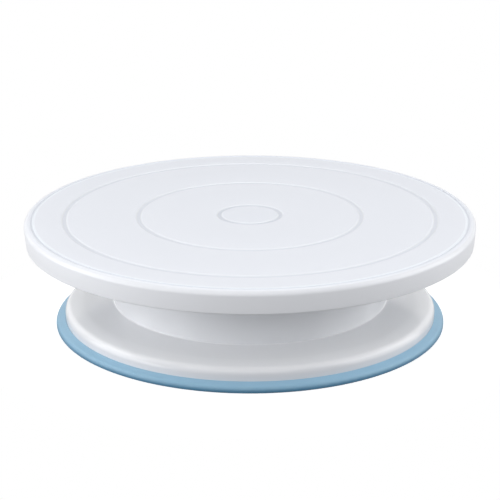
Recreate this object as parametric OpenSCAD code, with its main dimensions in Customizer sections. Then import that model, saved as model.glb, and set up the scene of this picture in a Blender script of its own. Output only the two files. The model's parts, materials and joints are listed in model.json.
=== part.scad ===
// Turntable for cakes and table service: a wide plate that turns on a caged ball ring in a spool-shaped base.
// Millimetres. The origin is the centre of the base on the table, and +Z is the turning axis.

/* [Overall] */
// Diameter of the plate
plate_d = 280; // [250:1:320]
// Height of the plate's top above the table
total_h = 68; // [66:0.5:80]

/* [Plate] */
// Thickness of the plate's top
plate_skin = 2.6; // [2:0.1:3.4]
// Depth of the skirt, from the plate's top
skirt_h = 13.7; // [12:0.1:20]
// Thickness of the skirt
skirt_wall = 2.6; // [1.8:0.1:3.5]
// How far the skirt's lower edge stands in from its upper edge
skirt_draft = 0.8; // [0:0.1:1]
// Radius of the rim's rounded top edge
rim_round = 3; // [1:0.1:3.5]
// Rounding of the skirt's lower edge
skirt_edge_round = 0.7; // [0.3:0.1:0.8]
// Radius of the inner band on the plate's top
inner_band_r = 19; // [14:0.5:30]
// Radius of the middle band
middle_band_r = 69.3; // [50:0.1:80]
// Radius of the outer band
outer_band_r = 115.2; // [100:0.1:118]
// Width of each band
band_w = 4.2; // [2:0.1:6]
// Depth of each band
band_depth = 0.5; // [0.2:0.1:0.8]
// Width of a band's sloping side
band_side = 0.5; // [0.1:0.1:0.8]
// Distance of the fine line from the plate's edge
rim_line_inset = 4.6; // [4.5:0.1:7]
// Width of the fine line
rim_line_w = 1.6; // [0.9:0.1:1.8]
// Depth of the fine line
rim_line_depth = 0.3; // [0.1:0.1:0.6]
// Width of a sloping side of the fine line
rim_line_side = 0.35; // [0.1:0.05:0.4]
// Number of radial ribs under the plate
plate_rib_count = 12; // [8:4:16]
// Thickness of the ribs under the plate
plate_rib_t = 1.6; // [1.2:0.1:2.4]
// Depth of the ribs below the plate's top skin
plate_rib_h = 6; // [4:0.1:7]
// Radius of the round rib between the boss and the balls
round_rib_r = 40; // [32:1:50]
// Diameter of the boss that holds the spindle
boss_d = 24; // [20:0.5:28]
// Depth of the dust ring that hangs outside the drum, below the plate's top skin
dust_ring_h = 9.9; // [9:0.1:11]
// Thickness of the dust ring
dust_ring_t = 1.8; // [1.2:0.1:2.4]
// Gap between the drum and the dust ring
dust_gap = 2.6; // [1:0.1:4]

/* [Base] */
// Gap between the outer locating ring and the drum's upper rim
rim_gap = 5.2; // [3:0.1:8]
// Height of the drum's foot above the table
drum_foot_h = 15.2; // [14:0.2:20]
// How far the drum's upper edge stands in from its foot
drum_draft = 0.7; // [0:0.1:2.5]
// Rounding in the corner between drum and flange
foot_fillet = 2; // [0.5:0.1:3]
// Wall of the base
base_wall = 2.4; // [1.8:0.1:3]
// Height of the drum's upper rim above the deck that carries the balls
drum_rim_h = 1.8; // [1:0.1:2.4]
// Rounding of the drum's upper rim
drum_rim_round = 0.9; // [0.3:0.1:1]
// Diameter of the flange, at the lip that stands in the soft ring
flange_d = 233; // [223:1:240]
// Fall of the flange towards its edge, in degrees
flange_fall = 5.2; // [3:0.1:8]
// Radius of the flange's rounded edge
flange_round = 7; // [4:0.1:8]
// Number of ribs under the deck
deck_rib_count = 8; // [4:4:12]
// Thickness of the ribs under the deck and the flange
base_rib_t = 1.8; // [1.2:0.1:2.4]
// Depth of the ribs below the deck
deck_rib_h = 12; // [8:0.5:20]
// Reach of the rib's foot along the hub
deck_rib_foot = 14; // [8:0.5:20]
// Height above the table at which the ribs leave the hub
deck_rib_low = 12; // [10:0.5:16]
// Number of gussets under the flange
gusset_count = 16; // [8:4:24]
// Distance from the drum's foot to the start of the gussets
gusset_start = 5; // [3:0.5:9]

/* [Soft ring] */
// Diameter of the non-slip ring
ring_d = 244.6; // [240:0.2:256]
// Height of the ring's top where it meets the lip
ring_inner_h = 5.3; // [5:0.1:7.5]
// Height of the ring's top at its outer edge
ring_outer_h = 3.3; // [3.2:0.1:4.8]
// Rounding of the ring's upper outer edge
ring_top_round = 3.1; // [1.4:0.1:3.2]
// Rounding of the ring's lower outer edge
ring_foot_round = 0.8; // [0.2:0.1:0.8]
// Thickness of the ring under the lip
ring_floor = 2.2; // [1.6:0.1:3]
// Width of the ring's inner grip on the lip
ring_grip_w = 2.4; // [1.5:0.1:4]
// Height of the ring's inner grip above the table
ring_grip_h = 5; // [4:0.1:6]
// Number of grooves in the ring's underside
ring_groove_count = 4; // [2:1:5]
// Width of each groove
ring_groove_w = 1; // [0.6:0.1:1.2]
// Depth of each groove
ring_groove_depth = 0.6; // [0.3:0.1:0.9]

/* [Ball ring] */
// Diameter of the balls
ball_d = 6; // [5:0.1:6.4]
// Number of balls
ball_count = 24; // [12:4:28]
// Diameter of the circle that the balls' centres lie on
ball_circle_d = 144; // [134:0.5:156]
// Width of the steel races
race_w = 8; // [7:0.1:9]
// Height of the steel races
race_h = 2.6; // [2:0.1:3]
// Depth to which each race takes in a ball
race_bite = 1; // [0.6:0.1:1.2]
// Clearance between a ball and its groove
race_clearance = 0.1; // [0.05:0.01:0.15]
// Radial clearance of a race between its locating rings
race_fit = 0.1; // [0.05:0.01:0.2]
// Edge chamfer of the races
race_chamfer = 0.3; // [0.1:0.1:0.5]
// Thickness of the locating rings
locating_t = 1.6; // [1.2:0.1:2.2]
// Height of the locating rings from a race's seat
locating_h = 1.8; // [1:0.1:1.9]
// Height of the pad that the upper race seats on
race_pad_h = 1; // [0.5:0.1:2]
// Width of the cage
cage_w = 9.6; // [8.6:0.1:10]
// Thickness of the cage
cage_t = 2.4; // [1.6:0.1:2.6]
// Clearance between a ball and its pocket
pocket_clearance = 0.15; // [0.1:0.05:0.3]

/* [Spindle and hub] */
// Diameter of the spindle
spindle_d = 10; // [8:0.1:11]
// Depth to which the spindle stands in the plate's boss
spindle_press = 6; // [5:0.1:7]
// Chamfer of the spindle's ends
spindle_tip = 0.5; // [0.2:0.1:1]
// Diameter of the spindle's collar
collar_d = 16; // [14:0.5:18]
// Thickness of the spindle's collar
collar_t = 1.6; // [1:0.1:2]
// Radial running clearance of the spindle in its bushes
spindle_clearance = 0.05; // [0.02:0.01:0.1]
// Outer diameter of the bushes
bush_d = 18; // [16:0.5:19]
// Length of a bush below its flange
bush_l = 10; // [6:0.5:12]
// Diameter of a bush's flange
bush_flange_d = 23; // [21:0.5:23.5]
// Thickness of a bush's flange
bush_flange_t = 1.5; // [1:0.1:1.8]
// Gap between the collar and the upper bush
collar_gap = 0.3; // [0.2:0.05:0.5]
// Outer diameter of the hub
hub_d = 29; // [28:0.5:33]
// Height of the hub's mouth above the table
hub_mouth_h = 6; // [5:0.5:8]
// Diameter of the recess in the hub's mouth
hub_recess_d = 24.4; // [24:0.1:25]
// Depth of the recess in the hub's mouth
hub_recess_h = 12; // [10.5:0.5:14]

/* [Retaining screw] */
// Thickness of the slippery washer
thrust_t = 0.8; // [0.5:0.1:1]
// Gap between the slippery washer and the lower bush
thrust_gap = 0.2; // [0.1:0.05:0.4]
// Diameter of both wide washers
washer_d = 20; // [18:0.5:22]
// Thickness of the retaining washer
washer_t = 1.5; // [1:0.1:1.8]
// Thickness of the spring washer
spring_washer_t = 1.2; // [0.8:0.1:1.4]
// Outer diameter of the spring washer
spring_washer_d = 9.2; // [8:0.1:10]
// Width of the spring washer's slit
spring_washer_slit = 1; // [0.5:0.1:2]
// Thread diameter of the screw
screw_d = 5; // [4:0.5:6]
// Length of the screw below its head
screw_l = 12; // [10:1:16]
// Diameter of the screw's head
screw_head_d = 9.5; // [8:0.5:11]
// Height of the screw's head
screw_head_h = 3.4; // [2.5:0.1:3.6]
// Radius of the head's rounded edge
screw_head_round = 1.1; // [0.4:0.1:1.6]
// Length of the slots of the cross recess
screw_slot_l = 5.7; // [4:0.1:7]
// Width of the slots of the cross recess
screw_slot_w = 1.1; // [0.8:0.1:1.6]
// Depth of the cross recess
screw_slot_depth = 1.9; // [1.2:0.1:2.2]
// Chamfer of the screw's tip
screw_tip = 0.8; // [0.3:0.1:1.2]
// Clearance of a washer's hole round the screw
screw_clearance = 0.2; // [0.1:0.05:0.3]

/* [Hub cap] */
// Thickness of the cap's disc
cap_t = 1.6; // [1.2:0.1:2.5]
// Thickness of the cap's snap wall
cap_wall = 1.5; // [1:0.1:2]
// Height of the cap's snap wall
cap_wall_h = 3; // [2.5:0.1:3.2]
// Clearance between the cap's snap wall and the hub
cap_clearance = 0.1; // [0.05:0.05:0.2]
// Height of the cap's snap bead
bead = 0.35; // [0.2:0.05:0.5]
// Number of slits that let the snap wall spring
cap_slit_count = 6; // [4:1:8]
// Width of a slit
cap_slit_w = 2; // [1:0.5:3]

/* [Hidden] */
$fn = 96;
// How far ribs and cutters run into or past the face they meet
merge = 0.4;

// Plate
plate_r = plate_d / 2;
skin_z = total_h - plate_skin;
skirt_z = total_h - skirt_h;
skirt_in_r = plate_r - skirt_wall;
rib_z = skin_z - plate_rib_h;
dust_z = skin_z - dust_ring_h;

// Ball ring, from the plate's seat down to the base's deck
upper_seat_z = skin_z - race_pad_h;
ball_r = ball_d / 2;
ball_circle_r = ball_circle_d / 2;
ball_z = upper_seat_z - race_h - ball_r + race_bite;
deck_z = ball_z - ball_r + race_bite - race_h;
race_in_r = ball_circle_r - race_w / 2;
race_out_r = ball_circle_r + race_w / 2;
seat_in_r = race_in_r - race_fit;
seat_out_r = race_out_r + race_fit;

// Base
rim_in_r = seat_out_r + locating_t + rim_gap;
drum_top_z = deck_z + drum_rim_h;
drum_top_r = rim_in_r + base_wall;
drum_r = drum_top_r + drum_draft;
drum_lean = atan(drum_draft / (drum_top_z - drum_foot_h));
lip_r = flange_d / 2;
lip_in_r = lip_r - base_wall;
hub_r = hub_d / 2;
hub_recess_r = hub_recess_d / 2;
bush_r = bush_d / 2;
recess_z = hub_mouth_h + hub_recess_h;
deck_under_z = deck_z - base_wall;
deck_rib_z = deck_under_z - deck_rib_h;
dust_in_r = drum_top_r + dust_gap;

// Flange: a cone of radius r at height flange_top(r), rounded into the upright lip
function flange_top(r) = drum_foot_h - (r - drum_r) * tan(flange_fall);
function flange_under(r) = flange_top(r) - base_wall / cos(flange_fall);
function drum_out(z) = drum_r - (z - drum_foot_h) * tan(drum_lean);
function drum_in(z) = drum_out(z) - base_wall / cos(drum_lean);
round_r = lip_r - flange_round;
round_z = flange_top(round_r) - flange_round / cos(flange_fall);

// Spindle and what hangs on it, from the deck down
collar_z = deck_z + bush_flange_t + collar_gap;
boss_z = collar_z + collar_t;
boss_r = boss_d / 2;
spindle_r = spindle_d / 2;
bush_bore_r = spindle_r + spindle_clearance;
lower_flange_z = recess_z - bush_flange_t;
thrust_z = lower_flange_z - thrust_gap - thrust_t;
washer_z = thrust_z - washer_t;
spring_washer_z = washer_z - spring_washer_t;
screw_r = screw_d / 2;
bead_z = hub_mouth_h + cap_wall_h / 2;

ball_names = [for (i = [1:ball_count]) str("ball_", i < 10 ? "0" : "", i)];

// Colours
white_plastic = [0.93, 0.94, 0.95];
blue_rubber = [0.52, 0.70, 0.81];
steel = [0.66, 0.67, 0.69];
ivory_plastic = [0.90, 0.88, 0.80];

// Points on an arc round [r, z], from angle a to angle b
function arc(r, z, radius, a, b, steps = 8) =
    [for (i = [0:steps]) let (t = a + (b - a) * i / steps) [r + radius * cos(t), z + radius * sin(t)]];

// A shallow groove with sloping sides in a flat top at height z, in the order of growing radius
function groove(r, z, w, depth, side) =
    [[r - w / 2, z], [r - w / 2 + side, z - depth], [r + w / 2 - side, z - depth], [r + w / 2, z]];

// A ring that hangs from height z down to low, in the order of shrinking radius
function hanging_ring(in_r, out_r, z, low) = [[out_r, z], [out_r, low], [in_r, low], [in_r, z]];

// An upright rib from a profile of [radius, height] points, turned to the angle a
module radial_rib(points, thickness, a) {
    rotate([0, 0, a])
        rotate([90, 0, 0])
            linear_extrude(height = thickness, center = true)
                polygon(points);
}

// Ribs at equal steps, half a step off the X axis
module rib_ring(count, thickness, points) {
    for (i = [0:count - 1])
        radial_rib(points, thickness, (i + 0.5) * 360 / count);
}

module tube(in_r, out_r, low, high) {
    rotate_extrude()
        translate([in_r, low])
            square([out_r - in_r, high - low]);
}

// ---------------------------------------------------------------- plate

// The plate's section: its top from the centre out, the skirt, and the underside back to the centre
function plate_top_line() = concat(
    [[0, total_h]],
    groove(inner_band_r, total_h, band_w, band_depth, band_side),
    groove(middle_band_r, total_h, band_w, band_depth, band_side),
    groove(outer_band_r, total_h, band_w, band_depth, band_side),
    groove(plate_r - rim_line_inset, total_h, rim_line_w, rim_line_depth, rim_line_side),
    arc(plate_r - rim_round, total_h - rim_round, rim_round, 90, 0)
);

skirt_foot_r = plate_r - skirt_draft;
function skirt_line() = concat(
    arc(skirt_foot_r - skirt_edge_round, skirt_z + skirt_edge_round, skirt_edge_round, 0, -90, 4),
    [[skirt_in_r, skirt_z], [skirt_in_r, skin_z]]
);

function plate_under_line() = concat(
    hanging_ring(dust_in_r, dust_in_r + dust_ring_t, skin_z, dust_z),
    hanging_ring(seat_out_r, seat_out_r + locating_t, skin_z, upper_seat_z - locating_h),
    [[seat_out_r, upper_seat_z], [seat_in_r, upper_seat_z]],
    [[seat_in_r, upper_seat_z - locating_h], [seat_in_r - locating_t, upper_seat_z - locating_h]],
    [[seat_in_r - locating_t, skin_z]],
    hanging_ring(round_rib_r, round_rib_r + plate_rib_t, skin_z, rib_z),
    [[boss_r, skin_z], [boss_r, boss_z], [spindle_r, boss_z]],
    [[spindle_r, boss_z + spindle_press], [0, boss_z + spindle_press]]
);

module plate_ribs() {
    top = skin_z + merge;
    // From the boss to the upper race
    rib_ring(plate_rib_count, plate_rib_t,
        [[boss_r - merge, rib_z], [seat_in_r - locating_t + merge, rib_z],
         [seat_in_r - locating_t + merge, top], [boss_r - merge, top]]);
    // From the upper race to the dust ring
    rib_ring(plate_rib_count, plate_rib_t,
        [[seat_out_r + locating_t - merge, rib_z], [dust_in_r + merge, rib_z],
         [dust_in_r + merge, top], [seat_out_r + locating_t - merge, top]]);
    // From the dust ring to the skirt, deepest at the dust ring
    rib_ring(plate_rib_count, plate_rib_t,
        [[dust_in_r + dust_ring_t - merge, dust_z], [skirt_in_r + merge, rib_z],
         [skirt_in_r + merge, top], [dust_in_r + dust_ring_t - merge, top]]);
}

module turntable_plate() {
    color(white_plastic) {
        union() {
            rotate_extrude()
                polygon(concat(plate_top_line(), skirt_line(), plate_under_line()));
            plate_ribs();
        }
    }
}

// ---------------------------------------------------------------- base

// The outside of the drum and flange, from the drum's rim down to the lip
fillet_r = drum_out(drum_foot_h + foot_fillet) + foot_fillet / cos(drum_lean);
fillet_z = flange_top(fillet_r) + foot_fillet / cos(flange_fall);
function drum_outside() = concat(
    arc(drum_top_r - drum_rim_round, drum_top_z - drum_rim_round, drum_rim_round, 90, 0, 4),
    arc(fillet_r, fillet_z, foot_fillet, 180 + drum_lean, 270 - flange_fall),
    arc(round_r, round_z, flange_round, 90 - flange_fall, 0),
    [[lip_r, ring_floor]]
);

// The inside, from the lip up under the flange and the deck to the hub
inner_round = flange_round - base_wall;
drum_corner_z = flange_under(drum_in(drum_foot_h));
function drum_inside() = concat(
    [[lip_in_r, ring_floor]],
    arc(round_r, round_z, inner_round, 0, 90 - flange_fall, 5),
    [[drum_in(drum_corner_z), drum_corner_z], [drum_in(deck_under_z), deck_under_z], [hub_r, deck_under_z]]
);

// The hub: its mouth with the groove for the cap's bead, the recess, and the bore for the bushes
bead_groove = bead + cap_clearance;
function hub_line() = [
    [hub_r, hub_mouth_h], [hub_recess_r, hub_mouth_h],
    [hub_recess_r, bead_z - bead_groove], [hub_recess_r + bead_groove, bead_z],
    [hub_recess_r, bead_z + bead_groove],
    [hub_recess_r, recess_z], [bush_r, recess_z], [bush_r, deck_z]
];

// The deck: the two rings that locate the lower race, and the drum's rim
function deck_line() = [
    [seat_in_r - locating_t, deck_z], [seat_in_r - locating_t, deck_z + locating_h],
    [seat_in_r, deck_z + locating_h], [seat_in_r, deck_z],
    [seat_out_r, deck_z], [seat_out_r, deck_z + locating_h],
    [seat_out_r + locating_t, deck_z + locating_h], [seat_out_r + locating_t, deck_z],
    [rim_in_r, deck_z], [rim_in_r, drum_top_z]
];

module deck_ribs() {
    rib_ring(deck_rib_count, base_rib_t,
        [[hub_r - merge, deck_rib_low], [hub_r, deck_rib_low], [hub_r + deck_rib_foot, deck_rib_z],
         [drum_in(deck_rib_z) + merge, deck_rib_z], [drum_in(deck_under_z) + merge, deck_under_z + merge],
         [hub_r - merge, deck_under_z + merge]]);
}

module flange_gussets() {
    gusset_r = drum_r + gusset_start;
    rib_ring(gusset_count, base_rib_t,
        [[gusset_r, flange_under(gusset_r)], [lip_in_r, ring_grip_h], [lip_in_r + merge, ring_grip_h],
         [lip_in_r + merge, round_z], [round_r, round_z + inner_round + merge],
         [gusset_r, flange_under(gusset_r) + merge]]);
}

module base_shell() {
    color(white_plastic) {
        union() {
            rotate_extrude()
                polygon(concat(drum_outside(), drum_inside(), hub_line(), deck_line()));
            deck_ribs();
            flange_gussets();
        }
    }
}

// The soft ring: a channel for the lip, a sloping top and a grooved underside
ring_r = ring_d / 2;
grip_r = lip_in_r - ring_grip_w;
module nonslip_ring() {
    groove_pitch = (ring_r - grip_r) / (ring_groove_count + 1);
    fall = atan((ring_inner_h - ring_outer_h) / (ring_r - lip_r));
    crown_z = ring_outer_h - ring_top_round * (1 - tan(fall)) / cos(fall);
    color(blue_rubber) {
        difference() {
            rotate_extrude()
                polygon(concat(
                    [[grip_r, 0], [ring_r - ring_foot_round, 0]],
                    arc(ring_r - ring_foot_round, ring_foot_round, ring_foot_round, -90, 0, 4),
                    arc(ring_r - ring_top_round, crown_z, ring_top_round, 0, 90 - fall),
                    [[lip_r, ring_inner_h], [lip_r, ring_floor], [lip_in_r, ring_floor]],
                    [[lip_in_r, ring_grip_h], [grip_r, ring_grip_h]]
                ));
            for (i = [1:ring_groove_count])
                tube(grip_r + i * groove_pitch - ring_groove_w / 2, grip_r + i * groove_pitch + ring_groove_w / 2,
                    -merge, ring_groove_depth);
        }
    }
}

// ---------------------------------------------------------------- ball ring

// A race between heights low and high, with the balls' path rolled into it
module race(low, high) {
    c = race_chamfer;
    color(steel)
        rotate_extrude()
            difference() {
                polygon([
                    [race_in_r + c, low], [race_out_r - c, low], [race_out_r, low + c], [race_out_r, high - c],
                    [race_out_r - c, high], [race_in_r + c, high], [race_in_r, high - c], [race_in_r, low + c]
                ]);
                translate([ball_circle_r, ball_z])
                    circle(r = ball_r + race_clearance);
            }
}

module lower_race() {
    race(deck_z, deck_z + race_h);
}

module upper_race() {
    race(upper_seat_z - race_h, upper_seat_z);
}

module ball_cage() {
    color(ivory_plastic)
        difference() {
            tube(ball_circle_r - cage_w / 2, ball_circle_r + cage_w / 2, ball_z - cage_t / 2, ball_z + cage_t / 2);
            for (i = [0:ball_count - 1])
                rotate([0, 0, i * 360 / ball_count])
                    translate([ball_circle_r, 0, ball_z - cage_t])
                        cylinder(r = ball_r + pocket_clearance, h = 2 * cage_t);
        }
}

module ball(i) {
    color(steel)
        rotate([0, 0, i * 360 / ball_count])
            translate([ball_circle_r, 0, ball_z])
                sphere(r = ball_r);
}

// ---------------------------------------------------------------- spindle and hub

module spindle() {
    color(steel)
        difference() {
            rotate_extrude()
                polygon([
                    [0, thrust_z], [spindle_r - spindle_tip, thrust_z], [spindle_r, thrust_z + spindle_tip],
                    [spindle_r, collar_z], [collar_d / 2, collar_z], [collar_d / 2, boss_z],
                    [spindle_r, boss_z], [spindle_r, boss_z + spindle_press - spindle_tip],
                    [spindle_r - spindle_tip, boss_z + spindle_press], [0, boss_z + spindle_press]
                ]);
            translate([0, 0, thrust_z - merge])
                cylinder(r = screw_r, h = screw_l + merge);
        }
}

// A flanged bush with its flange's outer face at height z. The body runs up from it, or down for side = -1.
module bush(z, side) {
    flange_r = bush_flange_d / 2;
    color(ivory_plastic)
        translate([0, 0, z])
            mirror([0, 0, side < 0 ? 1 : 0])
                rotate_extrude()
                    polygon([
                        [bush_bore_r, 0], [flange_r, 0], [flange_r, bush_flange_t], [bush_r, bush_flange_t],
                        [bush_r, bush_flange_t + bush_l], [bush_bore_r, bush_flange_t + bush_l]
                    ]);
}

module upper_bush() {
    bush(deck_z + bush_flange_t, -1);
}

module lower_bush() {
    bush(lower_flange_z, 1);
}

module thrust_washer() {
    color(ivory_plastic)
        tube(bush_bore_r + screw_clearance, washer_d / 2, thrust_z, thrust_z + thrust_t);
}

module retaining_washer() {
    color(steel)
        tube(screw_r + screw_clearance, washer_d / 2, washer_z, washer_z + washer_t);
}

// A split washer: one slit through one side
module spring_washer() {
    color(steel)
        difference() {
            tube(screw_r + screw_clearance, spring_washer_d / 2, spring_washer_z, washer_z);
            translate([0, -spring_washer_slit / 2, spring_washer_z - merge])
                cube([spring_washer_d, spring_washer_slit, spring_washer_t + 2 * merge]);
        }
}

// A pan-head screw with a cross recess in its head
module retaining_screw() {
    head_r = screw_head_d / 2;
    head_z = spring_washer_z - screw_head_h;
    tip_z = spring_washer_z + screw_l;
    color(steel)
        difference() {
            rotate_extrude()
                polygon(concat(
                    [[0, head_z]],
                    arc(head_r - screw_head_round, head_z + screw_head_round, screw_head_round, -90, 0),
                    [[head_r, spring_washer_z], [screw_r, spring_washer_z]],
                    [[screw_r, tip_z - screw_tip], [screw_r - screw_tip, tip_z], [0, tip_z]]
                ));
            for (a = [0, 90])
                rotate([0, 0, a])
                    translate([-screw_slot_l / 2, -screw_slot_w / 2, head_z - merge])
                        cube([screw_slot_l, screw_slot_w, screw_slot_depth + merge]);
        }
}

// The cap under the hub: a disc, and a slit snap wall whose bead springs into the hub's groove
module hub_cap() {
    wall_r = hub_recess_r - cap_clearance;
    color(white_plastic)
        difference() {
            rotate_extrude()
                polygon([
                    [0, hub_mouth_h - cap_t], [hub_r, hub_mouth_h - cap_t], [hub_r, hub_mouth_h],
                    [wall_r, hub_mouth_h], [wall_r, bead_z - bead], [wall_r + bead, bead_z],
                    [wall_r, bead_z + bead], [wall_r, hub_mouth_h + cap_wall_h],
                    [wall_r - cap_wall, hub_mouth_h + cap_wall_h], [wall_r - cap_wall, hub_mouth_h],
                    [0, hub_mouth_h]
                ]);
            for (i = [0:cap_slit_count - 1])
                rotate([0, 0, i * 360 / cap_slit_count])
                    translate([wall_r - cap_wall - merge, -cap_slit_w / 2, hub_mouth_h + merge])
                        cube([cap_wall + bead + 2 * merge, cap_slit_w, cap_wall_h]);
        }
}

turntable_plate();
base_shell();
nonslip_ring();
lower_race();
upper_race();
ball_cage();
spindle();
upper_bush();
lower_bush();
thrust_washer();
retaining_washer();
spring_washer();
retaining_screw();
hub_cap();
for (i = [0:ball_count - 1])
    ball(i);
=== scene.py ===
# %% [markdown]
# # A turntable for cakes, finished in Blender
#
# The real object is a wide white plastic plate that turns on a white plastic base shaped like a spool. The
# base stands in a light blue soft ring that stops it sliding. A ring of steel balls and a centre spindle are
# hidden inside.
#
# Its construction comes from CAD and is loaded as a fixed frame. This lesson models the three pieces that the
# eye meets once more in Blender, with fine rounds and even curves. It then gives every piece its finish and
# lights it.

# %% Load the frame
import json
import math

import bpy
from mathutils import Matrix, Vector


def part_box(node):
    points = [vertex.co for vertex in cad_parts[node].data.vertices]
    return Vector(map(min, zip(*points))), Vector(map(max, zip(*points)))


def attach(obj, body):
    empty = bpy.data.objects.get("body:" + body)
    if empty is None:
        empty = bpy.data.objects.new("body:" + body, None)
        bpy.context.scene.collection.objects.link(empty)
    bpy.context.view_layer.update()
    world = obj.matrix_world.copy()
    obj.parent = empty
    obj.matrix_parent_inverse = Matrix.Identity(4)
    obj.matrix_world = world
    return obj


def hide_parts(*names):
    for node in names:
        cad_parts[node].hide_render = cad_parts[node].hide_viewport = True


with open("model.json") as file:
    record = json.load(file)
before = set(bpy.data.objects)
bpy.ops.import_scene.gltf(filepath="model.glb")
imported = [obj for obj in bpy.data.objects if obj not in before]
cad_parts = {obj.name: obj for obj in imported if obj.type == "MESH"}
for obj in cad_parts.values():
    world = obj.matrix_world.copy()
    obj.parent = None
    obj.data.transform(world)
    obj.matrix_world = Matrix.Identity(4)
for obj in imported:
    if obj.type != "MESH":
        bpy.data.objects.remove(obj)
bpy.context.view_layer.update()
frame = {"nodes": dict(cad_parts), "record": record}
MM = 0.001

# %% [markdown]
# ## The camera
#
# A long lens, a metre away and a little above the plate, keeps the ellipses of plate, flange and ring calm.
# The camera aims at a point on the turning axis, so nothing has to be shifted in its frame.

# %% Camera
scene = bpy.context.scene
LENS_MM = 116.67
SENSOR_MM = 36
CAMERA_DISTANCE = 1.0175
CAMERA_RISE = math.radians(18.76)
AIM_HEIGHT = 0.0444

camera_back = CAMERA_DISTANCE * math.cos(CAMERA_RISE)
camera_height = AIM_HEIGHT + CAMERA_DISTANCE * math.sin(CAMERA_RISE)
level = math.pi / 2
bpy.ops.object.camera_add(location=(0, -camera_back, camera_height), rotation=(level - CAMERA_RISE, 0, 0))
camera = bpy.context.object
camera.name = "camera"
camera.data.lens = LENS_MM
camera.data.sensor_width = SENSOR_MM
scene.camera = camera
print("Camera height above the table:", round(camera.location.z, 3), "m")

# %% [markdown]
# ## From an outline to a turned solid
#
# All three visible pieces are round. A cylinder could be inset and extruded ring by ring, but a turned outline
# keeps each wall at its true thickness and puts the small mould rounds where they belong. So each piece starts
# as corners in the plane of radius and height, in millimetres. A corner may name the radius of its round.
# A plane is merged to one point, and the point is extruded along the outline.

# %% Outline helpers
TURN_STEPS = 240
ROUND_STEP = math.radians(11)


def rounded(corners):
    """Turns corners (radius, height, round) into points. A named round becomes an arc between two sides."""
    points = []
    for i, (r, z, *fillet) in enumerate(corners):
        corner = Vector((r, z))
        if not fillet:
            points.append(corner)
            continue
        back = (Vector(corners[i - 1][:2]) - corner).normalized()
        ahead = (Vector(corners[(i + 1) % len(corners)][:2]) - corner).normalized()
        turn = math.pi - back.angle(ahead)
        centre = corner + (back + ahead).normalized() * fillet[0] / math.cos(turn / 2)
        arm = corner + back * fillet[0] * math.tan(turn / 2) - centre
        way = 1 if back.x * ahead.y - back.y * ahead.x < 0 else -1
        steps = max(2, math.ceil(turn / ROUND_STEP))
        points += [centre + Matrix.Rotation(way * turn * k / steps, 2) @ arm for k in range(steps + 1)]
    return points


def draw(name, corners):
    """Draws the outline as a line of edges in the XZ plane, and leaves it selected in edit mode."""
    points = [point * MM for point in rounded(corners)]
    bpy.ops.object.select_all(action="DESELECT")
    bpy.ops.mesh.primitive_plane_add(size=MM)
    piece = bpy.context.object
    piece.name = piece.data.name = name
    bpy.ops.object.mode_set(mode="EDIT")
    bpy.ops.mesh.merge(type="CENTER")
    bpy.ops.transform.translate(value=(points[0].x, 0, points[0].y))
    for here, there in zip(points, points[1:]):
        step = there - here
        bpy.ops.mesh.extrude_vertices_move(TRANSFORM_OT_translate={"value": (step.x, 0, step.y)})
    bpy.ops.mesh.select_all(action="SELECT")
    return piece


print("A round of a quarter turn gets", math.ceil(math.pi / 2 / ROUND_STEP), "steps, a full turn", TURN_STEPS)

# %% [markdown]
# ## Closing, joining and smoothing
#
# The Spin operator could turn the line into a skin. The Screw modifier with no rise does the same, and is much
# faster on a long outline. An outline that doesn't start on the axis is closed by one more edge first. After
# the turn the doubles are merged and the normals recalculated, because a turned shape can come out inside out.
# Ribs are flat slabs, drawn the same way and extruded to their thickness. One slab is modelled and copied
# round. They could just overlap the plate, but a Boolean union makes one clean moulding, as the real one is.

# %% Modelling helpers
SAME_POINT = 0.002 * MM
CRISP_ANGLE = math.radians(32)


def turned(name, corners):
    """A closed solid: the outline turned once round the Z axis."""
    piece = draw(name, corners)
    if corners[0][0] > 0:
        select_ends(piece)
        bpy.ops.mesh.edge_face_add()
    bpy.ops.object.mode_set(mode="OBJECT")
    modifier = piece.modifiers.new("turn", "SCREW")
    modifier.axis, modifier.angle, modifier.screw_offset = "Z", math.tau, 0
    modifier.steps = modifier.render_steps = TURN_STEPS
    modifier.use_merge_vertices = True
    modifier.merge_threshold = SAME_POINT
    bpy.ops.object.modifier_apply(modifier=modifier.name)
    bpy.ops.object.mode_set(mode="EDIT")
    bpy.ops.mesh.select_all(action="SELECT")
    bpy.ops.mesh.remove_doubles(threshold=SAME_POINT)
    bpy.ops.mesh.normals_make_consistent(inside=False)
    bpy.ops.object.mode_set(mode="OBJECT")
    return piece


def select_ends(piece):
    """Selects only the first and last point of a drawn line."""
    bpy.ops.mesh.select_all(action="DESELECT")
    bpy.ops.object.mode_set(mode="OBJECT")
    piece.data.vertices[0].select = piece.data.vertices[-1].select = True
    bpy.ops.object.mode_set(mode="EDIT")


def slab(name, corners, thickness, edge=0.25):
    """A rib: the outline filled, extruded to its thickness, and bevelled all round."""
    piece = draw(name, corners)
    select_ends(piece)
    bpy.ops.mesh.edge_face_add()
    bpy.ops.mesh.select_all(action="SELECT")
    bpy.ops.mesh.edge_face_add()
    bpy.ops.transform.translate(value=(0, -thickness * MM / 2, 0))
    bpy.ops.mesh.extrude_region_move(TRANSFORM_OT_translate={"value": (0, thickness * MM, 0)})
    bpy.ops.mesh.select_all(action="SELECT")
    bpy.ops.mesh.normals_make_consistent(inside=False)
    bpy.ops.mesh.bevel(offset=edge * MM, segments=2, affect="EDGES")
    bpy.ops.object.mode_set(mode="OBJECT")
    return piece


def pick(*pieces):
    """Selects only these pieces, with the first one active."""
    bpy.ops.object.select_all(action="DESELECT")
    for piece in pieces:
        piece.select_set(True)
    bpy.context.view_layer.objects.active = pieces[0]


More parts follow.
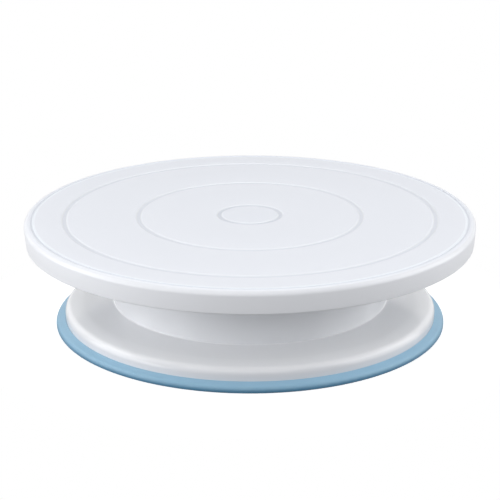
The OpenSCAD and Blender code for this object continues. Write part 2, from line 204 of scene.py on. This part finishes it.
def ribs(name, corners, thickness, count):
    """Models one rib, copies it round the Z axis, half a step off the X axis, and joins the copies."""
    first = slab(name, corners, thickness)
    copies = [first]
    for i in range(count - 1):
        copy = first.copy()
        copy.data = first.data.copy()
        bpy.context.collection.objects.link(copy)
        copies.append(copy)
    for i, copy in enumerate(copies):
        copy.rotation_euler.z = (i + 0.5) * math.tau / count
    pick(*copies)
    bpy.ops.object.transform_apply(location=False, rotation=True, scale=False)
    bpy.ops.object.join()
    return first


def fuse(piece, *tools):
    """Adds the tools to the piece by Boolean unions that are applied at once."""
    pick(piece)
    for tool in tools:
        modifier = piece.modifiers.new("fuse", "BOOLEAN")
        modifier.operation = "UNION"
        modifier.solver = "MANIFOLD"
        modifier.object = tool
        bpy.ops.object.modifier_apply(modifier=modifier.name)
        bpy.data.objects.remove(tool)


def settle(piece, body, node):
    """Shades the piece smooth with crisp edges kept, and lets it stand for its CAD node on its body."""
    pick(piece)
    bpy.ops.object.shade_smooth_by_angle(angle=CRISP_ANGLE)
    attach(piece, body)
    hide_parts(node)
    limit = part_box(node)[1]
    reach = max(v.co.x for v in piece.data.vertices)
    height = max(v.co.z for v in piece.data.vertices)
    print(piece.name, len(piece.data.vertices), "points, radius", round(reach / MM, 2), "of",
          round(limit.x / MM, 2), "height", round(height / MM, 2), "of", round(limit.z / MM, 2))


# %% [markdown]
# ## The plate
#
# The plate is one moulding. Its top is flat, with three shallow bands and a fine line that help to centre a
# cake. The bands' sides slope, so that each catches a thin line of light. The rim rolls over into a skirt that
# hides the base's upper edge. Under the top hang a dust ring, the two rings that hold the upper race, a round
# rib and the boss for the spindle.

# %% Plate outline
plate_low, plate_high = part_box("turntable_plate")
PLATE_R = min(-plate_low.x, plate_high.x, -plate_low.y, plate_high.y) / MM
TOP = plate_high.z / MM
SKIN_UNDER = TOP - 2.6
SKIRT_FOOT = TOP - 13.7
SKIRT_FOOT_R = PLATE_R - 0.85
SKIRT_INSIDE = 137.4
RIM_CORNER = PLATE_R + 0.25
RIM_ROUND = 3
BANDS = (19, 69.3, 115.2)
RIM_LINE = PLATE_R - 4.6
DUST_RING = (87.9, 89.7)
DUST_FOOT = SKIN_UNDER - 9.9
ROUND_RIB = (40, 41.6)
RIB_FOOT = SKIN_UNDER - 6
RACE_SEAT = (67.9, 76.1)
SEAT_WALL = 1.6
SEAT_RINGS = (RACE_SEAT[0] - SEAT_WALL, RACE_SEAT[1] + SEAT_WALL)
SEAT_FOOT, SEAT_FLOOR = SKIN_UNDER - 2.8, SKIN_UNDER - 1
BOSS_R, BOSS_FOOT = 12, SKIN_UNDER - 6.8
SPINDLE_R, SPINDLE_TOP = 5, SKIN_UNDER - 0.8


def band(r, width=4.2, depth=0.5, side=1.1, soft=0.3):
    """A shallow groove with sloping sides in the plate's top."""
    half = width / 2
    return [(r - half, TOP, soft), (r - half + side, TOP - depth, soft),
            (r + half - side, TOP - depth, soft), (r + half, TOP, soft)]


def hanging_ring(inner, outer, foot, soft=0.4):
    """A ring under the plate's top, from outside to inside."""
    return [(outer, SKIN_UNDER, soft), (outer, foot, soft), (inner, foot, soft), (inner, SKIN_UNDER, soft)]


plate_outline = [
    (0, TOP), *band(BANDS[0]), *band(BANDS[1]), *band(BANDS[2]),
    *band(RIM_LINE, width=1.6, depth=0.3, side=0.35, soft=0.15),
    (RIM_CORNER, TOP, RIM_ROUND), (SKIRT_FOOT_R, SKIRT_FOOT, 0.7),
    (SKIRT_INSIDE, SKIRT_FOOT, 0.3), (SKIRT_INSIDE, SKIN_UNDER, 0.8),
    *hanging_ring(*DUST_RING, DUST_FOOT),
    (SEAT_RINGS[1], SKIN_UNDER, 0.4), (SEAT_RINGS[1], SEAT_FOOT, 0.3), (RACE_SEAT[1], SEAT_FOOT, 0.3),
    (RACE_SEAT[1], SEAT_FLOOR), (RACE_SEAT[0], SEAT_FLOOR),
    (RACE_SEAT[0], SEAT_FOOT, 0.3), (SEAT_RINGS[0], SEAT_FOOT, 0.3), (SEAT_RINGS[0], SKIN_UNDER, 0.4),
    *hanging_ring(*ROUND_RIB, RIB_FOOT),
    (BOSS_R, SKIN_UNDER, 0.5), (BOSS_R, BOSS_FOOT, 0.3), (SPINDLE_R, BOSS_FOOT),
    (SPINDLE_R, SPINDLE_TOP), (0, SPINDLE_TOP),
]
plate = turned("plate", plate_outline)
print("Plate outline:", len(rounded(plate_outline)), "points")

# %% [markdown]
# Twelve ribs stiffen the plate from below. They start at the boss, leave room for the ball ring, and are
# deepest at the dust ring. Their edges sink a little into the plate and are fused to it, so the underside
# reads as one moulding.

# %% Plate ribs
PLATE_RIBS = 12
RIB_T = 1.6
RIB_SINK = 0.4
rib_top = SKIN_UNDER + RIB_SINK
dust_middle = sum(DUST_RING) / 2
inner_ribs = ribs("inner_ribs", [
    (BOSS_R - RIB_SINK, RIB_FOOT), (SEAT_RINGS[0] + RIB_SINK, RIB_FOOT),
    (SEAT_RINGS[0] + RIB_SINK, rib_top), (BOSS_R - RIB_SINK, rib_top),
], RIB_T, PLATE_RIBS)
outer_ribs = ribs("outer_ribs", [
    (SEAT_RINGS[1] - RIB_SINK, RIB_FOOT), (dust_middle, RIB_FOOT), (dust_middle, DUST_FOOT),
    (SKIRT_INSIDE + RIB_SINK, RIB_FOOT), (SKIRT_INSIDE + RIB_SINK, rib_top),
    (SEAT_RINGS[1] - RIB_SINK, rib_top),
], RIB_T, PLATE_RIBS)
fuse(plate, inner_ribs, outer_ribs)
settle(plate, "turntable", "turntable_plate")

# %% [markdown]
# ## The base
#
# The base is the spool: a drum that leans in slightly, a flange that falls gently outwards and bends over in
# one large curve, and a rounded lip that stands in the soft ring. Its deck carries the lower race between two
# low rings, and the hub in the middle holds the bushes. The corner between drum and flange has a small round,
# which catches a thin line of light.

# %% Base outline
base_low, base_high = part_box("base_shell")
DRUM_TOP = base_high.z / MM
LIP_FOOT = base_low.z / MM
LIP_R = base_high.x / MM
WALL = 2.4
DRUM_TOP_R = 85.3
DRUM_FOOT = (86, 15.2)
DECK = DRUM_TOP - 1.8
DECK_UNDER = DECK - WALL
DECK_UNDER_R = DRUM_TOP_R - WALL + 0.08
FALL = math.tan(math.radians(5.2))
EDGE_ROUND = 7
SHOULDER = (104.5, 13.65, 18)
LIP_TURN, LIP_ROUND = 12.1, 4.8
HUB_R, HUB_FOOT = 14.5, 6
RECESS_R, RECESS_TOP = 12.2, 18
SNAP_Z, SNAP_DEPTH = 7.5, 0.45
BUSH_R = 9
edge_z = DRUM_FOOT[1] - (LIP_R - DRUM_FOOT[0]) * FALL
base_outline = [
    (DRUM_TOP_R - WALL, DRUM_TOP, 0.3), (DRUM_TOP_R, DRUM_TOP, 0.9), (*DRUM_FOOT, 1),
    SHOULDER, (LIP_R, LIP_TURN, LIP_ROUND), (LIP_R, LIP_FOOT, 0.2),
    (LIP_R - WALL, LIP_FOOT, 0.2), (LIP_R - WALL, edge_z - WALL + WALL * FALL, EDGE_ROUND - WALL),
    (DRUM_FOOT[0] - WALL, DRUM_FOOT[1] - WALL + WALL * FALL, 0.8), (DECK_UNDER_R, DECK_UNDER, 1),
    (HUB_R, DECK_UNDER, 1), (HUB_R, HUB_FOOT, 0.4), (RECESS_R, HUB_FOOT, 0.2),
    (RECESS_R, SNAP_Z - SNAP_DEPTH), (RECESS_R + SNAP_DEPTH, SNAP_Z), (RECESS_R, SNAP_Z + SNAP_DEPTH),
    (RECESS_R, RECESS_TOP, 0.3), (BUSH_R, RECESS_TOP), (BUSH_R, DECK),
    (SEAT_RINGS[0], DECK, 0.3), (SEAT_RINGS[0], DRUM_TOP, 0.3),
    (RACE_SEAT[0], DRUM_TOP, 0.3), (RACE_SEAT[0], DECK), (RACE_SEAT[1], DECK), (RACE_SEAT[1], DRUM_TOP, 0.3),
    (SEAT_RINGS[1], DRUM_TOP, 0.3), (SEAT_RINGS[1], DECK, 0.3),
    (DRUM_TOP_R - WALL, DECK, 0.4),
]
base = turned("base", base_outline)
print("Base outline:", len(rounded(base_outline)), "points")

# %% [markdown]
# Eight ribs run under the deck from the hub to the drum, and flare out where they meet the hub. Sixteen small
# gussets hold the flange level. All of them sink a little into the walls that they meet.

# %% Base ribs
DECK_RIBS, GUSSETS = 8, 16
BASE_RIB_T = 1.8
DECK_RIB_FOOT = DECK_UNDER - 12
FLARE, FLARE_LOW = 14, 12
DRUM_REACH_LOW, DRUM_REACH_TOP = DRUM_TOP_R - 1.4, DRUM_TOP_R - 1.9
GUSSET_START = 91
GUSSET_FOOT = 5
rib_top = DECK_UNDER + RIB_SINK
deck_ribs = ribs("deck_ribs", [
    (HUB_R - RIB_SINK, FLARE_LOW), (HUB_R, FLARE_LOW), (HUB_R + FLARE, DECK_RIB_FOOT),
    (DRUM_REACH_LOW, DECK_RIB_FOOT), (DRUM_REACH_TOP, rib_top), (HUB_R - RIB_SINK, rib_top),
], BASE_RIB_T, DECK_RIBS)
gusset_z = DRUM_FOOT[1] - WALL - (GUSSET_START - DRUM_FOOT[0]) * FALL
lip_inside = LIP_R - WALL
gussets = ribs("gussets", [
    (GUSSET_START, gusset_z), (lip_inside, GUSSET_FOOT),
    (lip_inside + RIB_SINK, GUSSET_FOOT), (lip_inside + RIB_SINK, GUSSET_FOOT + 1),
    (LIP_R - EDGE_ROUND, edge_z - WALL + EDGE_ROUND * FALL + RIB_SINK), (GUSSET_START, gusset_z + RIB_SINK),
], BASE_RIB_T, GUSSETS)
fuse(base, deck_ribs, gussets)
settle(base, "base", "base_shell")

# %% [markdown]
# ## The soft ring
#
# The ring is a soft channel that is pressed over the base's lip. Its top slopes down to a well rounded outer
# edge, and four grooves in its underside let it grip a wet worktop.

# %% Soft ring
RING_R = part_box("nonslip_ring")[1].x / MM
RING_TOP, RING_EDGE = 5.3, 3.4
GRIP_R = lip_inside - 2.4
GRIP_TOP = 5
GROOVES = 4
GROOVE_HALF, GROOVE_DEPTH = 0.5, 0.6
groove_pitch = (RING_R - GRIP_R) / (GROOVES + 1)
ring_outline = [(GRIP_R, 0, 0.3)]
for i in range(GROOVES):
    middle = GRIP_R + (i + 1) * groove_pitch
    near, far = middle - GROOVE_HALF, middle + GROOVE_HALF
    ring_outline += [(near, 0, 0.15), (near, GROOVE_DEPTH, 0.15), (far, GROOVE_DEPTH, 0.15), (far, 0, 0.15)]
ring_outline += [
    (RING_R, 0, 0.8), (RING_R, RING_EDGE, 2.9), (LIP_R, RING_TOP, 0.25), (LIP_R, LIP_FOOT),
    (lip_inside, LIP_FOOT), (lip_inside, GRIP_TOP, 0.3), (GRIP_R, GRIP_TOP, 0.5),
]
ring = turned("soft_ring", ring_outline)
settle(ring, "base", "nonslip_ring")

# %% [markdown]
# ## A finish written as sums
#
# Each finish is a Principled BSDF with a few patterns. The node editor would show a web of Math nodes. Written
# as Python, a pattern reads as a sum: the class Amount wraps a socket, and arithmetic on it adds the Math
# nodes. Any other node comes from Finish.add, which takes the node's type, its settings and its sockets.

# %% Shader helpers


class Amount:
    """A number or colour that varies over a surface, held as the socket that gives it."""

    def __init__(self, finish, socket):
        self.finish, self.socket = finish, socket

    def math(self, operation, *numbers):
        return self.finish.add("Math", {"operation": operation}, dict(enumerate(numbers)))

    def __add__(self, other):
        return self.math("ADD", self, other)

    def __sub__(self, other):
        return self.math("SUBTRACT", self, other)

    def __rsub__(self, other):
        return self.math("SUBTRACT", other, self)

    def __mul__(self, other):
        return self.math("MULTIPLY", self, other)

    def __abs__(self):
        return self.math("ABSOLUTE", self)

    __radd__, __rmul__ = __add__, __mul__

    def ramp(self, low, high):
        """0 below low, 1 above high, and a soft step between."""
        return self.finish.add("MapRange", {"interpolation_type": "SMOOTHSTEP"},
                               {"Value": self, "From Min": low, "From Max": high})


def rgb(red, green, blue):
    """An sRGB colour from 0 to 255 as Blender's linear colour."""
    channels = [v / 255 for v in (red, green, blue)]
    return (*[c / 12.92 if c <= 0.04045 else ((c + 0.055) / 1.055) ** 2.4 for c in channels], 1)


class Finish:
    """One material: its nodes, its Principled BSDF, and where on the piece a point lies, in millimetres."""

    def __init__(self, name, **constants):
        self.name = name
        self.material = bpy.data.materials.new(name)
        self.material.use_nodes = True
        self.tree = self.material.node_tree
        self.shader = self.tree.nodes["Principled BSDF"]
        for socket, value in constants.items():
            self.shader.inputs[socket.replace("_", " ")].default_value = value
        self.place = self.add("TexCoord", out="Object")
        split = self.add("SeparateXYZ", {}, {0: self.place}, "X").socket.node
        self.z = Amount(self, split.outputs["Z"]) * (1 / MM)
        flat = self.add("VectorMath", {"operation": "MULTIPLY"}, {0: self.place, 1: (1, 1, 0)}, "Vector")
        self.r = self.add("VectorMath", {"operation": "LENGTH"}, {0: flat}, "Value") * (1 / MM)

    def add(self, kind, settings=None, sockets=None, out=0):
        """Adds a node of this kind: its settings first, then the values or links of its sockets."""
        node = self.tree.nodes.new("ShaderNode" + kind)
        for setting, value in (settings or {}).items():
            setattr(node, setting, value)
        for socket, value in (sockets or {}).items():
            if isinstance(value, Amount):
                self.tree.links.new(value.socket, node.inputs[socket])
            else:
                node.inputs[socket].default_value = value
        return Amount(self, node.outputs[out])

    def noise(self, size, detail=2.0, roughness=0.5, stretch=(1, 1, 1)):
        """Cloudy noise from 0 to 1 whose patches are about size millimetres across."""
        place = self.place
        if stretch != (1, 1, 1):
            place = self.add("Mapping", {}, {"Vector": self.place, "Scale": stretch}, "Vector")
        return self.add("TexNoise", {}, {"Vector": place, "Scale": 1 / (size * MM), "Detail": detail,
                                         "Roughness": roughness}, 0)

    def mix(self, amount, first, second):
        """A colour between two colours."""
        return self.add("Mix", {"data_type": "RGBA"}, {0: amount, 6: first, 7: second}, 2)

    def ring(self, middle, half, soft):
        """1 on a ring of the piece, 0 away from it."""
        return 1 - abs(self.r - middle).ramp(half - soft, half + soft)

    def bump(self, height, millimetres, normal=None):
        """Raises the surface by height, where 1 is this many millimetres."""
        sockets = {"Height": height, "Distance": millimetres * MM, "Strength": 1.0}
        if normal:
            sockets["Normal"] = normal
        return self.add("Bump", {}, sockets, "Normal")

    def feed(self, **links):
        """Links what varies to the shader."""
        for socket, value in links.items():
            self.tree.links.new(value.socket, self.shader.inputs[socket.replace("_", " ")])


print("Frosted white in linear colour:", [round(c, 3) for c in rgb(235, 238, 243)[:3]])

# %% [markdown]
# ## White plastic, frosted on top
#
# The mould that shapes the plate's top is spark-eroded, so the top has a fine frost that scatters light. The
# bands, the fine line, the rim and the skirt come from polished steel and are smoother. Off the top, the plate
# is a little deeper in colour. The bands and the fine line are painted darker still, and the centre band and
# the disc inside it darker again: painted shade. A strip just inside the fine line is painted lighter, as a
# painted highlight. Masks on the radius and height tell them apart. A few hairlines from cake knives show only
# where light grazes the top.

# %% Plate finish
BAND_FLOOR = 1.1
LINE_HALF = 0.7
SOFT_EDGE = 0.3
frost = Finish("white_plate", IOR=1.49, Specular_IOR_Level=0.5)
on_top = frost.z.ramp(TOP - 0.35, TOP - 0.15)
centre_band = frost.ring(BANDS[0], BAND_FLOOR, SOFT_EDGE)
smooth_and_shaded_parts = centre_band
for middle, half in ((BANDS[1], BAND_FLOOR), (BANDS[2], BAND_FLOOR), (RIM_LINE, LINE_HALF)):
    smooth_and_shaded_parts = smooth_and_shaded_parts + frost.ring(middle, half, SOFT_EDGE)
frosted = on_top * (1 - frost.r.ramp(PLATE_R - 3.2, PLATE_R - 2.6)) * (1 - smooth_and_shaded_parts)
centre_disc_painted_shade = 1 - frost.r.ramp(BANDS[0] - 2.2, BANDS[0] - 1.8)
rim_painted_highlight = on_top * frost.ring(RIM_LINE - 1.5, 0.6, SOFT_EDGE)
clouds = frost.noise(34, detail=3)
grain = frost.noise(0.45, detail=3, roughness=0.7)
peel = frost.noise(3.2, detail=1)
hair_mask = frost.noise(28, detail=1).ramp(0.52, 0.6)
hairs = 0
for size, stretch in ((46, (1, 0.25, 1)), (60, (0.3, 1, 1))):
    strands = frost.noise(size, detail=1.5, roughness=0.4, stretch=stretch)
    hairs = hairs + (1 - abs(strands - 0.5).ramp(0.0006, 0.0022))
hairs = hairs * hair_mask * frosted
white = frost.mix(on_top, rgb(230, 232, 237), rgb(236, 239, 246))
# Painted shade: the disc inside the centre band is painted a little darker.
white = frost.mix(centre_disc_painted_shade * on_top * 0.5, white, rgb(232, 236, 244))
# Painted shade: the bands and the fine line are painted darker than the frosted top.
white = frost.mix(smooth_and_shaded_parts * 0.6, white, rgb(217, 223, 235))
# Painted shade: the centre band is painted darker again.
white = frost.mix(centre_band * 0.6, white, rgb(206, 211, 222))
# Painted highlight: a strip just inside the fine line is painted lighter and bluer.
white = frost.mix(rim_painted_highlight, white, rgb(244, 249, 255))
white = frost.mix(clouds * 0.12, white, rgb(229, 232, 238))
surface = frost.bump(grain * frosted, 0.035)
surface = frost.bump(peel, 0.012, surface)
surface = frost.bump(hairs, -0.02, surface)
frost.feed(
    Base_Color=white,
    Roughness=0.29 + 0.24 * frosted + 0.06 * clouds - 0.1 * hairs,
    Normal=surface,
)
print("Plate finish:", len(frost.tree.nodes), "nodes")

# %% [markdown]
# ## White plastic, glossy
#
# The base is polished all over, so it mirrors the lamps softly. Two things keep it from looking like china:
# the faint waviness of a moulded wall, and fine scuffs where hands turn and lift it. The flange's top is
# painted whiter, as painted light, and the lower side of the lip is painted greyer, as painted shade.

# %% Base finish
gloss = Finish("white_base", IOR=1.49, Specular_IOR_Level=0.5)
waves = gloss.noise(30, detail=1, stretch=(1, 1, 0.45))
skin = gloss.noise(2.6, detail=1)
scuffs = gloss.noise(9, detail=4, roughness=0.65).ramp(0.56, 0.72)
outside = gloss.r.ramp(84.6, 85)
white = gloss.mix(gloss.noise(22, detail=2) * 0.3, rgb(228, 230, 234), rgb(222, 224, 229))
past_drum = gloss.r.ramp(DRUM_FOOT[0] + 0.05, DRUM_FOOT[0] + 0.35)
# Painted light: the flange's top is painted whiter.
flange_top_painted_light = past_drum * gloss.z.ramp(10, 12.6)
# Painted shade: the lower side of the lip is painted greyer.
lip_side_painted_shade = gloss.r.ramp(LIP_R - 6, LIP_R - 3) * (1 - gloss.z.ramp(9, 11.5))
white = gloss.mix(lip_side_painted_shade, white, rgb(216, 218, 223))
white = gloss.mix(flange_top_painted_light, white, rgb(249, 250, 252))
surface = gloss.bump(waves, 0.16)
surface = gloss.bump(skin, 0.006, surface)
gloss.feed(Base_Color=white, Roughness=0.16 + 0.05 * scuffs * outside, Normal=surface)
print("Base finish:", len(gloss.tree.nodes), "nodes")

# %% [markdown]
# ## Light blue rubber
#
# The ring is a soft rubber with a fine leather-like grain from the mould. It has a slight sheen, as rubber
# holds a thin bloom. It is paler where the outer edge is rubbed. Towards its foot it is painted much deeper in
# colour, as painted shade where it meets the floor.

# %% Rubber finish
rubber = Finish("blue_rubber", IOR=1.5, Specular_IOR_Level=0.4, Sheen_Weight=0.12, Sheen_Roughness=0.5)
GRAIN_SIZE = 0.7
cells = {"Vector": rubber.place, "Scale": 1 / (GRAIN_SIZE * MM)}
grain = rubber.add("TexVoronoi", {"feature": "F1"}, cells, "Distance")
mottle = rubber.noise(12, detail=3)
rubbed = rubber.ring(RING_R - 0.5, 1.1, 0.6) * rubber.noise(5, detail=3).ramp(0.4, 0.7)
blue = rubber.mix(mottle * 0.5, rgb(151, 192, 217), rgb(143, 183, 209))
blue = rubber.mix(rubbed * 0.3, blue, rgb(162, 197, 217))
# Painted shade: the ring is painted much darker towards its foot, where it meets the floor.
foot = rubber.r.ramp(RING_R - 2.4, RING_R - 0.6) * (1 - rubber.z.ramp(0.8, 4.5))
blue = rubber.mix(foot * 0.9, blue, rgb(58, 112, 145))
surface = rubber.bump(grain, 0.03)
surface = rubber.bump(rubber.noise(0.3, detail=2), 0.01, surface)
rubber.feed(Base_Color=blue, Roughness=0.42 + 0.1 * mottle, Normal=surface)
print("Rubber finish:", len(rubber.tree.nodes), "nodes")

# %% [markdown]
# ## The hidden pieces
#
# The races, spindle and washers are turned steel: fine rings follow the tool round the axis. The balls are
# polished. The cage, bushes and slippery washer are an ivory plastic with a satin skin. All keep their CAD
# shape and only take a finish.

# %% Steel and ivory finishes
steel = Finish("steel", Metallic=1.0)
along_the_cut = steel.r * 5.0 + steel.z * 3.0
tool_rings = steel.add("TexNoise", {"noise_dimensions": "1D"}, {"W": along_the_cut, "Detail": 2.0})
stain = steel.noise(6, detail=3)
steel.feed(
    Base_Color=steel.mix(stain * 0.4, rgb(196, 198, 202), rgb(176, 176, 176)),
    Roughness=0.22 + 0.2 * tool_rings + 0.08 * stain,
    Normal=steel.bump(tool_rings, 0.01),
)

ball_steel = Finish("ball_steel", Metallic=1.0)
film = ball_steel.noise(2.5, detail=2)
ball_steel.feed(
    Base_Color=ball_steel.mix(film * 0.3, rgb(214, 216, 220), rgb(200, 200, 202)),
    Roughness=0.06 + 0.08 * film,
)

ivory = Finish("ivory_plastic", IOR=1.48, Subsurface_Weight=0.1, Subsurface_Scale=0.002)
cloud = ivory.noise(7, detail=3)
ivory.feed(
    Base_Color=ivory.mix(cloud * 0.5, rgb(233, 228, 212), rgb(224, 217, 198)),
    Roughness=0.38 + 0.12 * cloud,
    Normal=ivory.bump(ivory.noise(0.8, detail=2), 0.01),
)
print("Finishes:", [m.name for m in bpy.data.materials])

# %% [markdown]
# Each new piece takes its finish. Each CAD node takes the one that its record names, in the slot it has.

# %% Give out the finishes
finishes = {f.name: f.material for f in (frost, gloss, rubber, steel, ball_steel, ivory)}
for piece, slot in ((plate, "white_plate"), (base, "white_base"), (ring, "blue_rubber")):
    piece.data.materials.clear()
    piece.data.materials.append(finishes[slot])
for part in frame["record"]["subparts"]:
    for holder in frame["nodes"][part["node"]].material_slots:
        holder.material = finishes[part["material_slot"]]

# %% [markdown]
# ## The floor
#
# The floor is a large plain plane. The camera sees paper that glows a little near the object and is plain
# white farther off, so the floor comes out white and still shows the object's shadow where the ring meets it.
# Reflections see the plain paper. Light that bounces meets a dark floor, as in a studio where only the lamps
# light the object. Mix Shaders that are keyed on the kind of ray choose between the three.

# %% Floor
FLOOR_SIZE = 8
PAPER, DARK = (0.8, 0.8, 0.8, 1), (0.2, 0.2, 0.2, 1)
WHITE = (1, 1, 1, 1)
GLOW = 0.6
bpy.ops.object.select_all(action="DESELECT")
bpy.ops.mesh.primitive_plane_add(size=FLOOR_SIZE)
floor = bpy.context.object
floor.name = "floor"
ground = Finish("floor", Base_Color=PAPER, Roughness=0.03)
paper = Amount(ground, ground.shader.outputs[0])
glow = ground.add("Emission", {}, {"Color": WHITE, "Strength": GLOW})
near_look = ground.add("AddShader", {}, {0: paper, 1: glow})
far_look = ground.add("Emission", {}, {"Color": WHITE, "Strength": 1.0})
far_off = ground.r.ramp(RING_R + 10, RING_R + 60)
camera_look = ground.add("MixShader", {}, {0: far_off, 1: near_look, 2: far_look})
dark = ground.add("BsdfDiffuse", {}, {"Color": DARK})
mirrored = ground.add("LightPath", out="Is Glossy Ray")
seen = ground.add("LightPath", out="Is Camera Ray")
other_look = ground.add("MixShader", {}, {0: mirrored, 1: dark, 2: paper})
floor_look = ground.add("MixShader", {}, {0: seen, 1: other_look, 2: camera_look})
ground.tree.links.new(floor_look.socket, ground.tree.nodes["Material Output"].inputs["Surface"])
floor.data.materials.append(ground.material)
print("Floor:", [round(v, 1) for v in floor.dimensions], "m")

# %% [markdown]
# ## The lamps
#
# Soft panels stand in two rows round the turntable, one row low and one high. Those on the left and right give
# the drum and the skirt their bright sides. Weaker ones in front keep the skirt and the drum from going dark.
# Each panel covers a stretch of the horizon, and its power follows from its size, so that a panel of radiance
# 1 looks as bright as white paper.
#
# The last lamp hangs above and behind, and is seen only in reflections. It draws the thin bright lines on the
# sides of the bands and on the rim. A lamp that also lit the plate would make its top too bright.

# %% Lamps
PANEL_DISTANCE = 0.9
FLOOR_GAP = 0.01
LOW, HIGH = (0, 22), (24, 52)
PANELS = (
    ("left_low", -105, -45, LOW, 3.35),
    ("front_left_low", -45, -18, LOW, 1.0),
    ("left_high", -105, -75, HIGH, 2.6),
    ("front_high", -45, 27, HIGH, 1.3),
    ("right_low", 57, 117, LOW, 2.3),
    ("right_high", 57, 117, HIGH, 2.1),
)
GLINT_PLACE = (0, 0.45, 0.85)
GLINT_TILT = math.radians(-30)
GLINT_SIZE = (0.9, 0.5)
GLINT_RADIANCE = 1.4


def area_lamp(name, location, width, height, radiance):
    """A rectangular lamp that the camera doesn't see, with its power worked out from its size."""
    bpy.ops.object.light_add(type="AREA", location=location)
    light = bpy.context.object
    light.name = name
    light.visible_camera = False
    light.data.shape = "RECTANGLE"
    light.data.size, light.data.size_y = width, height
    light.data.energy = math.pi * width * height * radiance
    return light


def panel(name, start, end, rises, radiance):
    """A panel between two compass angles from the camera's side, plus to the right, and between two rises."""
    middle = math.radians(start + end) / 2
    bottom, top = (PANEL_DISTANCE * math.tan(math.radians(rise)) for rise in rises)
    away = Vector((math.sin(middle), -math.cos(middle), 0))
    place = away * PANEL_DISTANCE + Vector((0, 0, (bottom + top) / 2 + FLOOR_GAP))
    width = 2 * PANEL_DISTANCE * math.tan(math.radians(end - start) / 2)
    light = area_lamp(name, place, width, top - bottom, radiance)
    light.rotation_euler = away.to_track_quat("Z", "Y").to_euler()


for settings in PANELS:
    panel(*settings)
glint = area_lamp("glint", GLINT_PLACE, *GLINT_SIZE, GLINT_RADIANCE)
glint.rotation_euler.x = GLINT_TILT
glint.visible_diffuse = False

# %% [markdown]
# ## The room
#
# The room is an even white. Light that bounces off a surface meets it dimmer than the camera and reflections
# do, which keeps the shadows under the plate deep without greying what the object mirrors.

# %% World
ROOM, ROOM_FOR_BOUNCES = 1.0, 0.44
scene.world = bpy.data.worlds.new("studio")
scene.world.use_nodes = True
nodes, links = scene.world.node_tree.nodes, scene.world.node_tree.links
paths = nodes.new("ShaderNodeLightPath")
strength = nodes.new("ShaderNodeMapRange")
for socket, value in (("From Min", 1.0), ("From Max", 0.0), ("To Min", ROOM_FOR_BOUNCES), ("To Max", ROOM)):
    strength.inputs[socket].default_value = value
links.new(paths.outputs["Is Diffuse Ray"], strength.inputs["Value"])
links.new(strength.outputs["Result"], nodes["Background"].inputs["Strength"])
nodes["Background"].inputs["Color"].default_value = WHITE
scene.view_settings.view_transform = "Standard"
print("Room light for bounces:", ROOM_FOR_BOUNCES)
